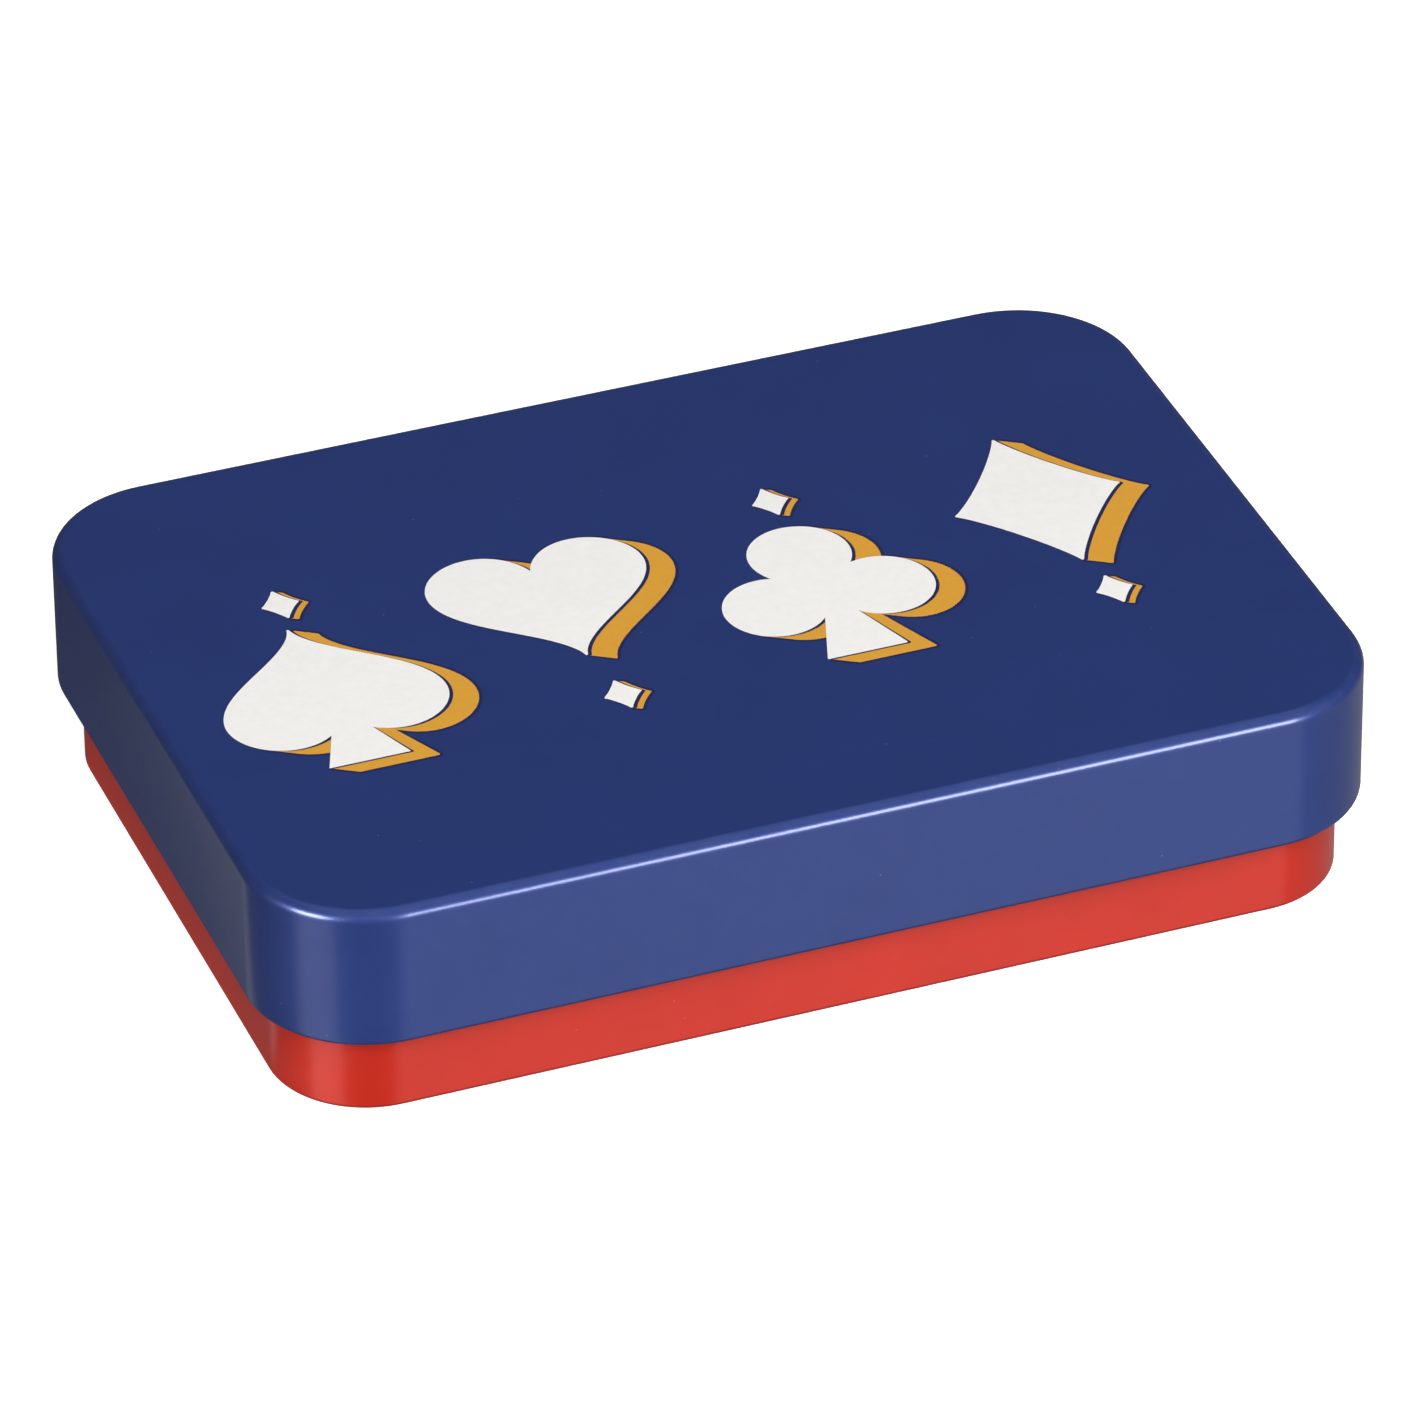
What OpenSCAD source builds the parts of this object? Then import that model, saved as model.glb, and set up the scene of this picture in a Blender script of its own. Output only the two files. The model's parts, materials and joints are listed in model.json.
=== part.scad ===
// Card game tin: a drawn tinplate base and a deep lid that swings on a wire
// along the back edge. Inside, a formed tray holds a deck of cards that lies
// on a folded rules leaflet.
// Millimetres. +Z is up, the front is at -Y and the hinge at +Y. The origin
// is on the table under the middle of the closed tin.

/* [Tin] */
// How far the lid reaches past each end of the deck
end_margin = 9; // [8:0.5:25]
// How far the lid reaches past the front and the back of the deck
side_margin = 6; // [5.5:0.5:20]
// Height of the closed tin
tin_h = 22.7; // [21.6:0.1:26]
// Corner radius of the lid, seen from above
corner_r = 11.4; // [8:0.1:14]
// Height of the band of base that shows under the lid
band_h = 8.5; // [6:0.1:11]
// Thickness of the tinplate
sheet_t = 0.25; // [0.2:0.01:0.3]
// Outside radius of the bend round the lid's top
top_bend_r = 1.1; // [0.6:0.1:3]
// Outside radius of the bend round the base's foot
foot_bend_r = 0.6; // [0.5:0.1:3]
// How far the panel in the underside is pressed up
panel_rise = 0.5; // [0.2:0.1:0.9]
// Flat land left round that panel, from the wall in
panel_inset = 5; // [4:0.1:7]

/* [Rolled edges] */
// Outside radius of the roll along the top of the base
rim_r = 0.5; // [0.4:0.01:0.6]
// How far round each roll is turned, in degrees
curl_wrap = 280; // [240:5:285]

/* [Fit of the lid] */
// Gap between the lid's plate and the base's rim when shut
seat_gap = 0.15; // [0.1:0.01:0.3]
// Gap between the lid's roll and the base's wall at each end
side_gap = 0.7; // [0.4:0.05:1.2]
// Least gap between the front roll and the rim as the lid swings
swing_gap = 0.15; // [0.1:0.01:0.4]

/* [Hinge] */
// Radius of the hinge wire
wire_r = 0.36; // [0.3:0.01:0.45]
// Gap round the wire inside the rolled sheet
wire_gap = 0.04; // [0.02:0.01:0.08]
// How far each end of the wire stops short of the lid's corner bend
wire_end = 2.6; // [1:0.1:6]
// Distance of each hinge tab from the middle
tab_x = 24; // [12:1:28]
// Width of each hinge tab
tab_w = 9; // [5:0.5:12]
// Gap at each side of a tab
tab_gap = 0.2; // [0.1:0.05:0.5]
// Gap over a tab's roll, up to the notch in the skirt
notch_gap = 0.4; // [0.2:0.05:1]
// Inside radius of the bend at a tab's root
tab_bend_r = 0.2; // [0.1:0.05:0.3]

/* [Tray] */
// Thickness of the tray's plastic
tray_t = 0.4; // [0.3:0.05:0.6]
// Height of the tray
tray_h = 17.6; // [14:0.1:18.5]
// Gap between the tray and the rolled rim that it drops past
tray_gap = 0.3; // [0.15:0.05:0.5]
// Corner radius of the well
well_r = 3.6; // [3:0.1:5]
// Width of the finger recess at each end of the well
recess_w = 20; // [14:1:26]
// Corner radius of a finger recess
recess_r = 2; // [1:0.1:3]
// Gap between a recess and the tray's outer wall behind it
recess_gap = 0.3; // [0.2:0.1:1]

/* [Cards] */
// Length of a card
card_w = 88; // [84:1:89]
// Depth of a card
card_d = 63; // [57:1:63]
// Corner radius of a card
card_r = 3; // [2:0.1:4]
// Thickness of a card
card_t = 0.29; // [0.25:0.01:0.3]
// Cards in each suit
suit_cards = 13; // [8:1:13]
// Spare cards on top of the four suits
joker_cards = 2; // [1:1:3]
// Gap round the deck in its well
card_gap = 0.75; // [0.6:0.05:1]
// How far a card may lie out of line with the deck
card_slip = 0.3; // [0:0.05:0.4]

/* [Leaflet] */
// How far inside the cards' outline the folded leaflet stays
leaflet_short = 2; // [1.5:0.5:8]
// Thickness of its paper
paper_t = 0.1; // [0.08:0.01:0.12]
// Layers that it is folded into
paper_layers = 6; // [2:1:7]

/* [Hidden] */
$fn = 64;

lay_gap = 0.05;   // air under a thing that lies on another
card_air = 0.02;  // air between two cards
paper_air = 0.06; // air between two layers of the leaflet
panel_run = 0.8;  // width of the slope round the pressed panel
slip_turn = 137.5; // degrees from one card's slip to the next one's
tab_root = 1;     // how far down each tab is drawn into the wall it grows from
over = 1;         // how far a cutting shape passes what it cuts

// The tin is made to the size of the deck.
lid_w = card_w + 2 * end_margin;
lid_d = card_d + 2 * side_margin;

// The lid's skirt ends in a roll, made to fit round the hinge wire. Along the
// back it carries the wire, so the hinge line is the roll's centre.
curl_r = wire_r + wire_gap + sheet_t;
wire_len = lid_w - 2 * corner_r - 2 * wire_end;
hinge_y = lid_d / 2 - curl_r;
hinge_z = band_h + curl_r;

// The base stands inside the lid. At the front it is set back so far that its
// rim passes the lid's roll, which swings round the hinge line. Its depth is
// rounded down to whole hundredths, as on a drawing.
rim_top = tin_h - sheet_t - seat_gap;
rim_up = rim_top - rim_r - hinge_z;
roll_reach = lid_d - 3 * curl_r;
rim_reach = rim_r + sqrt(pow(roll_reach - swing_gap - rim_r, 2) - pow(rim_up, 2));
base_d = 2 * floor(100 * (rim_reach - hinge_y)) / 100;
base_w = lid_w - 2 * (2 * curl_r + side_gap);
base_r = corner_r - 2 * curl_r - side_gap;
floor_top = panel_rise + sheet_t;

// Each tab is folded out of the back wall and leaves a window as high as the
// tab is long when it is rolled out flat.
tab_strap = hinge_y - base_d / 2 - tab_bend_r;
tab_foot = PI / 2 * (tab_bend_r + sheet_t / 2);
tab_roll = PI / 180 * curl_wrap * (curl_r - sheet_t / 2);
window_h = tab_foot + tab_strap + tab_roll;
window_z = hinge_z - curl_r - tab_bend_r;

// The tray drops in past the rolled rim and stands on the pressed panel.
tray_w = base_w - 4 * rim_r - 2 * tray_gap;
tray_d = base_d - 4 * rim_r - 2 * tray_gap;
tray_r = base_r - 2 * rim_r - tray_gap;
tray_z = floor_top + lay_gap;
well_w = card_w + 2 * card_gap;
well_d = card_d + 2 * card_gap;
recess_reach = tray_w - 4 * tray_t - 2 * recess_gap;

leaflet_z = tray_z + tray_t + lay_gap;
leaflet_w = card_w - 2 * leaflet_short;
leaflet_d = card_d - 2 * leaflet_short;
paper_pitch = paper_t + paper_air;
leaflet_h = paper_layers * paper_t + (paper_layers - 1) * paper_air;
deck_z = leaflet_z + leaflet_h + lay_gap;
card_pitch = card_t + card_air;

lid_blue = "#28376f";
base_red = "#d2352b";
wire_grey = "#9a9c9f";
tray_black = "#242529";
paper_white = "#efece2";
card_white = "#f4f2ec";

// ---- shapes that several pieces share ----

// A flat rectangle with round corners.
module rounded(w, d, r) {
    square([w - 2 * r, d], center = true);
    square([w, d - 2 * r], center = true);
    for (sx = [-1, 1], sy = [-1, 1])
        translate([sx * (w / 2 - r), sy * (d / 2 - r)]) circle(r);
}

// Part of a ring of sheet, from one angle round to a larger one.
module bend(r, t, from, to) {
    steps = ceil((to - from) / 45);
    difference() {
        intersection() {
            circle(r);
            polygon(concat([[0, 0]],
                [for (i = [0:steps])
                    let (a = from + (to - from) * i / steps)
                    2 * r * [cos(a), sin(a)]]));
        }
        circle(r - t);
    }
}

// Carries a section once round a rounded rectangle. The section's x is the
// distance out from a corner's centre, and its y is the height.
module around(w, d, r) {
    for (i = [0:3]) {
        out = (i % 2 == 0 ? w : d) / 2 - r;
        run = (i % 2 == 0 ? d : w) - 2 * r;
        rotate([0, 0, 90 * i]) {
            translate([out, run / 2, 0])
                rotate([90, 0, 0]) linear_extrude(run) children();
            translate([out, run / 2, 0])
                rotate_extrude(angle = 90) children();
        }
    }
}

// The flat middle of a plate that around() leaves open.
module middle(w, d, r, z) {
    translate([r - w / 2, r - d / 2, z])
        cube([w - 2 * r, d - 2 * r, sheet_t]);
}

// Runs a section, drawn as depth and height, along the tin for a width of w.
module along(w) {
    translate([-w / 2, 0, 0]) rotate([90, 0, 90]) linear_extrude(w) children();
}

// Copies a shape to the place of each hinge tab.
module at_tabs() {
    for (side = [-1, 1]) translate([side * tab_x, 0, 0]) children();
}

// ---- the lid ----

module lid_section() {
    // plate
    translate([0, tin_h - sheet_t]) square([corner_r - top_bend_r, sheet_t]);
    // bend at the top edge
    translate([corner_r - top_bend_r, tin_h - top_bend_r])
        bend(top_bend_r, sheet_t, 0, 90);
    // skirt
    translate([corner_r - sheet_t, hinge_z])
        square([sheet_t, tin_h - top_bend_r - hinge_z]);
    // rolled edge
    translate([corner_r - curl_r, hinge_z])
        bend(curl_r, sheet_t, 360 - curl_wrap, 360);
}

module lid() {
    color(lid_blue) difference() {
        union() {
            around(lid_w, lid_d, corner_r) lid_section();
            middle(lid_w, lid_d, corner_r, tin_h - sheet_t);
        }
        // a notch for each tab, through the roll and the foot of the skirt
        at_tabs() along(tab_w + 2 * tab_gap)
            translate([hinge_y - curl_r - notch_gap, band_h - over])
                square([2 * curl_r + notch_gap + over,
                        over + 2 * curl_r + notch_gap]);
    }
}

// ---- the base ----

module base_section() {
    slope = atan(panel_rise / panel_run);
    miter = sheet_t * tan(slope / 2);
    panel_edge = base_r - panel_inset;
    foot = base_r - foot_bend_r;
    // pressed panel, its slope and the land round it
    polygon([
        [0, panel_rise],
        [panel_edge - panel_run, panel_rise],
        [panel_edge, 0],
        [foot, 0],
        [foot, sheet_t],
        [panel_edge + miter, sheet_t],
        [panel_edge - panel_run + miter, panel_rise + sheet_t],
        [0, panel_rise + sheet_t]]);
    // bend at the foot
    translate([foot, foot_bend_r]) bend(foot_bend_r, sheet_t, 270, 360);
    // wall
    translate([base_r - sheet_t, foot_bend_r])
        square([sheet_t, rim_top - rim_r - foot_bend_r]);
    // rim, rolled inwards
    translate([base_r - rim_r, rim_top - rim_r])
        bend(rim_r, sheet_t, 0, curl_wrap);
}

// A tab folded out of the back wall and rolled round the wire.
module tab_section() {
    wall_y = base_d / 2;
    // root, still in the wall
    translate([wall_y - sheet_t, window_z - tab_root])
        square([sheet_t, tab_root]);
    // bend outwards
    translate([wall_y + tab_bend_r, window_z])
        bend(tab_bend_r + sheet_t, sheet_t, 90, 180);
    // strap
    translate([wall_y + tab_bend_r, window_z + tab_bend_r])
        square([tab_strap, sheet_t]);
    // roll
    translate([hinge_y, hinge_z]) bend(curl_r, sheet_t, -90, curl_wrap - 90);
}

module base() {
    color(base_red) union() {
        difference() {
            union() {
                around(base_w, base_d, base_r) base_section();
                middle(base_w, base_d, base_r, panel_rise);
            }
            // the windows that the tabs leave in the back wall
            at_tabs() along(tab_w + 2 * tab_gap)
                translate([base_d / 2 - sheet_t - over / 2, window_z])
                    square([sheet_t + over, window_h]);
        }
        at_tabs() along(tab_w) tab_section();
    }
}

module hinge_wire() {
    color(wire_grey)
        translate([-wire_len / 2, hinge_y, hinge_z])
            rotate([0, 90, 0]) cylinder(h = wire_len, r = wire_r);
}

// ---- what the tin holds ----

// The well with its two finger recesses, drawn larger all round by grow.
module well(grow) {
    rounded(well_w + 2 * grow, well_d + 2 * grow, well_r + grow);
    rounded(recess_reach + 2 * grow, recess_w + 2 * grow, recess_r + grow);
}

module insert_tray() {
    color(tray_black) translate([0, 0, tray_z]) difference() {
        linear_extrude(tray_h) rounded(tray_w, tray_d, tray_r);
        translate([0, 0, tray_t]) linear_extrude(tray_h) well(0);
        // open underside between the well and the outer wall
        translate([0, 0, -over]) linear_extrude(tray_h - tray_t + over)
            difference() {
                rounded(tray_w - 2 * tray_t, tray_d - 2 * tray_t,
                        tray_r - tray_t);
                well(tray_t);
            }
    }
}

// One sheet folded to and fro, with a round fold at each end.
module rules_leaflet() {
    fold_r = paper_t + paper_air / 2;
    run = leaflet_w - 2 * fold_r;
    color(paper_white)
        translate([0, leaflet_d / 2, leaflet_z])
            rotate([90, 0, 0]) linear_extrude(leaflet_d)
                for (i = [0:paper_layers - 1]) {
                    translate([-run / 2, i * paper_pitch])
                        square([run, paper_t]);
                    side = i % 2 == 0 ? 1 : -1;
                    if (i < paper_layers - 1)
                        translate([side * run / 2, i * paper_pitch + fold_r])
                            bend(fold_r, paper_t, -90 * side, 180 - 90 * side);
                }
}

// A run of cards in the deck, counted from the bottom one. Each card has
// slipped a little way out of line, and its neighbours another way.
module cards(first, count) {
    color(card_white)
        for (i = [first:first + count - 1])
            translate([card_slip * cos(slip_turn * i),
                       card_slip * sin(slip_turn * i),
                       deck_z + i * card_pitch])
                linear_extrude(card_t) rounded(card_w, card_d, card_r);
}

lid();
base();
hinge_wire();
insert_tray();
rules_leaflet();
cards(0, suit_cards);  // cards_spades
cards(suit_cards, suit_cards);  // cards_hearts
cards(2 * suit_cards, suit_cards);  // cards_clubs
cards(3 * suit_cards, suit_cards);  // cards_diamonds
cards(4 * suit_cards, joker_cards);  // cards_jokers
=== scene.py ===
"""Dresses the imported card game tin: printed tinplate lid and base, hinge wire,
formed tray, folded leaflet and deck, with a studio round them."""

import json
import math

import bmesh
import bpy
import numpy as np
from mathutils import Euler, Matrix, Vector


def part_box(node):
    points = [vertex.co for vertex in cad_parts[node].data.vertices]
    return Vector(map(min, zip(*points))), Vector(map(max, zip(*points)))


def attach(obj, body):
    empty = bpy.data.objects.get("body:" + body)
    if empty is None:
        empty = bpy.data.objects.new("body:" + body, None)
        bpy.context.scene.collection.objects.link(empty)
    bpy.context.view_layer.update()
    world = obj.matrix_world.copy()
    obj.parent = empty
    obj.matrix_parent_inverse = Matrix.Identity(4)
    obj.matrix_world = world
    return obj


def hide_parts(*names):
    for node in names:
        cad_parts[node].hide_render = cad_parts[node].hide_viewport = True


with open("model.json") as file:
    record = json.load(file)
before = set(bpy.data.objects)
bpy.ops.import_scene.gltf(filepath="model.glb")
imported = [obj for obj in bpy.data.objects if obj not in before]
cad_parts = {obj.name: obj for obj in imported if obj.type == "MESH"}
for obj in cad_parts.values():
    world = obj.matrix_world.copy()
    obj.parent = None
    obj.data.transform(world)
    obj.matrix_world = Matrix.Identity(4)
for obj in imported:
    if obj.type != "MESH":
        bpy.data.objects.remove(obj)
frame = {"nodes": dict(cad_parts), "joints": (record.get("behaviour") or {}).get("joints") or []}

bl_info = {
    "name": "Card game tin",
    "version": (1, 0, 0),
    "blender": (4, 5, 0),
    "location": "3D View > Sidebar > Tin",
    "description": "Builds a hinged card game tin, its finishes and its studio",
    "category": "Add Mesh",
}

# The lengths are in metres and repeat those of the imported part, but for what
# its boxes and joint give.
MM = 0.001
LID = np.array(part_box("lid"))
BASE = np.array(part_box("base"))
WIRE = np.array(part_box("hinge_wire"))
TRAY = np.array(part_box("insert_tray"))
HINGE_Y, HINGE_Z = frame["joints"][0]["pos_m"][1:]
SUITS = ("spades", "hearts", "clubs", "diamonds")
JOKERS = 2

HAIR = 0.02 * MM  # how far a support row stands from a bend
MERGE = 0.00001 * MM  # two points this close are one
SHARP = math.radians(38)  # an edge that turns more than this is drawn sharp
FULL_BEND = 0.3  # turn over three rows, in radians, that counts as a full bend

# Steps round a sheet's corner seen from above, and round bends and rolls
CORNER_STEPS, BEND_STEPS, ROLL_STEPS, RIM_STEPS = 24, 14, 30, 26
SLOPE_STEPS, TAB_STEPS, TRAY_STEPS, WELL_STEPS, CARD_STEPS = 12, 6, 6, 8, 6
WIRE_STEPS, WIRE_COLUMNS = 5, 32
# How far the flat cap in a grid's middle reaches past its corners' centres
SHEET_CAP, CARD_CAP = 1 * MM, 0.2 * MM

MIX_A, MIX_B, MIX_OUT = 6, 7, 2  # a Mix node's colour sockets
NOISE_LOW, NOISE_HIGH = 0.3, 0.7  # nearly all of a noise lies between these


def linear(hex_colour):
    """An sRGB hex colour as linear red, green, blue and alpha."""
    code = hex_colour.lstrip("#")
    value = np.array([int(code[i:i + 2], 16) for i in (0, 2, 4)]) / 255
    curved = ((value + 0.055) / 1.055) ** 2.4
    return (*np.where(value <= 0.04045, value / 12.92, curved), 1.0)


def length(name, description, default):
    """A length property, in metres."""
    return bpy.props.FloatProperty(
        name=name, description=description, default=default,
        min=0.0, unit="LENGTH", precision=5)


def degrees(name, description, default):
    """An angle property, with its default in degrees."""
    return bpy.props.FloatProperty(
        name=name, description=description, default=math.radians(default),
        subtype="ANGLE")


def radiance(name, description, default):
    """The radiance of a light, in watts per steradian and square metre."""
    return bpy.props.FloatProperty(
        name=name, description=description, default=default, min=0.0)


def colour(name, description, hex_colour):
    """A colour property with its default as an sRGB hex value."""
    return bpy.props.FloatVectorProperty(
        name=name, description=description, default=linear(hex_colour),
        size=4, min=0.0, max=1.0, subtype="COLOR")


# ---- what a user would change ----

class TinplateSettings(bpy.types.PropertyGroup):
    sheet: length("Sheet", "Thickness of the tinplate", 0.25 * MM)
    lid_corner: length("Lid corner", "Corner radius of the lid, seen from above", 11.4 * MM)
    lid_bend: length("Lid bend", "Radius of the bend round the lid's top", 1.1 * MM)
    base_corner: length("Base corner", "Corner radius of the base, seen from above", 9.4 * MM)
    foot_bend: length("Foot bend", "Radius of the bend round the base's foot", 0.6 * MM)
    panel_rise: length("Panel rise", "How far the underside's panel is pressed up", 0.5 * MM)
    panel_inset: length("Panel inset", "Flat land round that panel", 5.0 * MM)
    panel_run: length("Panel slope", "Width of the slope round that panel", 0.8 * MM)
    edge_roll: length("Edge roll", "Outside radius of the roll along the lid's edge", 0.65 * MM)
    rim_roll: length("Rim roll", "Outside radius of the roll along the base's rim", 0.5 * MM)
    roll_turn: degrees("Roll turn", "How far round each roll is turned", 280)
    tab_place: length("Tab place", "Distance of each hinge tab from the middle", 24 * MM)
    tab_width: length("Tab width", "Width of each hinge tab", 9 * MM)
    tab_gap: length("Tab gap", "Gap at each side of a tab", 0.2 * MM)
    tab_bend: length("Tab bend", "Inside radius of the bend at a tab's root", 0.2 * MM)
    notch_gap: length("Notch gap", "Gap over a tab's roll, up to the lid's skirt", 0.4 * MM)
    lid_ink: colour("Lid ink", "Deep blue printed on the lid's outside", "#293d7e")
    base_ink: colour("Base ink", "Red printed on the base's outside", "#cc2b18")
    tin: colour("Tin", "Bare tinplate, as on the inside and at cut edges", "#c4c5c6")
    wire: colour("Wire", "Drawn steel of the hinge wire", "#b4b6b9")


class PrintSettings(bpy.types.PropertyGroup):
    height: length("Height", "Height of the printed spade; the others are to scale", 22.4 * MM)
    pitch: length("Pitch", "Distance from one suit mark to the next", 23.8 * MM)
    stagger: length("Stagger", "How far the marks stand above and below the middle", 3.5 * MM)
    pip: length("Pip", "Height of the small diamonds over and under the marks", 4.4 * MM)
    pip_place: length("Pip place", "How far the small diamonds stand from the middle", 12.6 * MM)
    line_width: length("Line", "Width of the dark line between a face and its shadow", 0.38 * MM)
    shadow_x: length("Shadow across", "How far the block shadow falls to the right", 2.3 * MM)
    shadow_y: length("Shadow down", "How far the block shadow falls to the front", 1.5 * MM)
    shadow_rim: length("Shadow rim", "Width of the dark line round the block shadow", 0.3 * MM)
    room: length("Room", "Height of the inks, within the closed tin's height", 0.03 * MM)
    face: colour("Face", "White ink of a mark's face", "#f7f5f2")
    line: colour("Line", "Dark blue ink of the lines", "#1e2350")
    shadow: colour("Shadow", "Gold ink of the block shadow", "#dda037")


class ContentsSettings(bpy.types.PropertyGroup):
    tray_sheet: length("Tray sheet", "Thickness of the tray's plastic", 0.4 * MM)
    tray_corner: length("Tray corner", "Corner radius of the tray's outer wall", 8.1 * MM)
    tray_bend: length("Tray bend", "Radius of the bends round the tray's flange", 0.45 * MM)
    floor_bend: length("Floor bend", "Radius of the bend round the well's floor", 0.8 * MM)
    draft: length("Draft", "How far the well's walls lean in towards its floor", 0.12 * MM)
    well_corner: length("Well corner", "Corner radius of the well", 3.6 * MM)
    recess_width: length("Recess width", "Width of each finger recess", 20 * MM)
    recess_corner: length("Recess corner", "Corner radius of a finger recess", 2 * MM)
    recess_gap: length("Recess gap", "Gap between a recess and the outer wall", 0.3 * MM)
    land_corner: length("Land corner", "Radius where a recess meets the well", 1.0 * MM)
    card_width: length("Card length", "Length of a card", 88 * MM)
    card_depth: length("Card depth", "Depth of a card", 63 * MM)
    card_corner: length("Card corner", "Corner radius of a card", 3 * MM)
    card_sheet: length("Card board", "Thickness of a card", 0.29 * MM)
    card_pitch: length("Card pitch", "Height from one card to the next", 0.31 * MM)
    card_gap: length("Card gap", "Gap round the deck in its well", 0.75 * MM)
    card_slip: length("Card slip", "How far a card lies out of line", 0.3 * MM)
    slip_turn: degrees("Slip turn", "Turn from one card's slip to the next one's", 137.5)
    suit_cards: bpy.props.IntProperty(
        name="Cards in a suit", description="Number of cards in each suit", default=13, min=1)
    plastic: colour("Plastic", "Black polystyrene of the tray", "#242529")
    paper: colour("Paper", "Uncoated paper of the leaflet", "#efece2")
    board: colour("Board", "White board of the cards", "#f4f2ec")
    back: colour("Card back", "Blue printed on the backs of the cards", "#2b4684")


class StudioSettings(bpy.types.PropertyGroup):
    azimuth: degrees("Azimuth", "Direction of the camera round the tin", -20.4611)
    elevation: degrees("Elevation", "Height of the camera over the horizon", 33.3748)
    roll: degrees("Roll", "Turn of the camera about its own view", -0.5565)
    distance: length("Distance", "Distance of the camera from the tin", 1007.565 * MM)
    across: length("Across", "How far the camera stands to its own right", 0.3608 * MM)
    up: length("Up", "How far the camera stands up in its own frame", 8.8444 * MM)
    lens: bpy.props.FloatProperty(
        name="Lens", description="Focal length, in millimetres", default=278.65)
    key: radiance("Key", "Strip light at the front right", 20.0)
    fill: radiance("Fill", "Strip light at the left", 24.0)
    front: radiance("Front", "Soft panel at the front left", 7.5)
    right: radiance("Right", "Soft panel at the front right", 4.5)
    back: radiance("Back", "Soft panel behind", 1.875)
    top: radiance("Top", "Soft panel overhead", 0.15)
    ceiling: radiance("Ceiling", "What the tin mirrors overhead", 0.45)
    under: radiance("Under", "Soft panel under the sheet", 0.3)
    right_card: radiance("Right card", "Bounce card low at the front right", 0.6)
    left_card: radiance("Left card", "Bounce card low at the left", 0.84)
    back_card: radiance("Back card", "Bounce card low at the right and behind", 0.198)
    sheen: radiance("Sheen", "The sheet as the left wall mirrors it", 0.38)
    glow: radiance("Glow", "The sheet along the foot of the left wall", 1.8)
    room: radiance("Room", "The dim room round it all", 0.06)
    floor: colour("Floor", "Pale sheet that the tin stands on", "#fbfbfb")


# ---- shapes as whole arrays ----

def arc(centre, radius, start, end, steps):
    """Points round a circle, at equal angles from start to end, in degrees.

    Each is centre + radius * (cos angle, sin angle)."""
    angle = np.radians(np.linspace(start, end, steps + 1))
    return np.array(centre) + radius * np.stack([np.cos(angle), np.sin(angle)], axis=1)


def straight(start, end, *cuts):
    """Points between two ends: a hair inside each, and one at each cut.

    A cut is a value that the second coordinate takes on the way. The hairs
    keep the flat flat where it runs into a bend that is shaded smooth."""
    start, end = np.array(start, float), np.array(end, float)
    hair = HAIR / np.linalg.norm(end - start)
    shares = [(cut - start[1]) / (end[1] - start[1]) for cut in cuts]
    share = np.array([hair, *shares, 1 - hair])[:, None]
    return start + share * (end - start)


def stations_round(half_x, half_y, steps, back_cuts=()):
    """Where a section is carried: once round a rectangle, anticlockwise.

    A station is a point on the rectangle and the angle that the section
    points in. At a corner the point stays and the angle turns by 90 degrees.
    On a straight the angle stays and the point moves, with stops a hair from
    each end and, along the back, at the cuts."""
    corner = np.array([[1, -1], [1, 1], [-1, 1], [-1, -1], [1, -1]]) * (half_x, half_y)
    points, angles = [], []
    for side in range(4):
        run = np.abs(corner[side + 1] - corner[side]).sum()
        cuts = np.sort(half_x - np.array(back_cuts)) / run if side == 1 else []
        share = np.array([HAIR / run, *cuts, 1 - HAIR / run])[:, None]
        turn = np.radians(np.linspace(90 * side, 90 * side + 90, steps + 1))
        points += [corner[side] + share * (corner[side + 1] - corner[side]),
                   np.tile(corner[side + 1], (steps + 1, 1))]
        angles += [np.full(len(share), turn[0]), turn]
    return np.vstack(points), np.concatenate(angles)


def carried_round(stations, section):
    """A section carried round its stations, as a grid of points.

    Point = station + out * (cos angle, sin angle), at the section's height,
    where the section's two columns are out and height."""
    points, angles = stations
    facing = np.stack([np.cos(angles), np.sin(angles)], axis=1)
    plan = points[:, None] + section[None, :, :1] * facing[:, None]
    height = np.broadcast_to(section[:, 1], plan.shape[:2])
    return np.dstack([plan, height])


def grid_faces(columns, rows, closed=True, keep=None, first=0):
    """Quads between neighbouring columns and rows of a grid of points.

    Seen from outside, columns run anticlockwise and rows to the column's
    left. The last column joins the first one where the grid is closed."""
    column = np.arange(columns if closed else columns - 1)[:, None]
    row = np.arange(rows - 1)[None]
    here = column * rows + row
    there = (column + 1) % columns * rows + row
    quads = np.stack([here, there, there + 1, here + 1], axis=-1) + first
    return (quads if keep is None else quads[keep]).reshape(-1, 4)


def ring(columns, rows, row):
    """The points of one row of a closed grid, anticlockwise from above."""
    return np.arange(row, columns * rows, rows).tolist()


def bend_of(section):
    """How hard a section is bent at each of its rows, from 0 to 1.

    It is the turn from row to row, summed over three rows, as a share of a
    full bend."""
    turned = np.abs(np.gradient(np.arctan2(*np.gradient(section, axis=0).T[::-1])))
    return np.clip(np.convolve(turned, np.ones(3), "same") / FULL_BEND, 0, 1)


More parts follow.
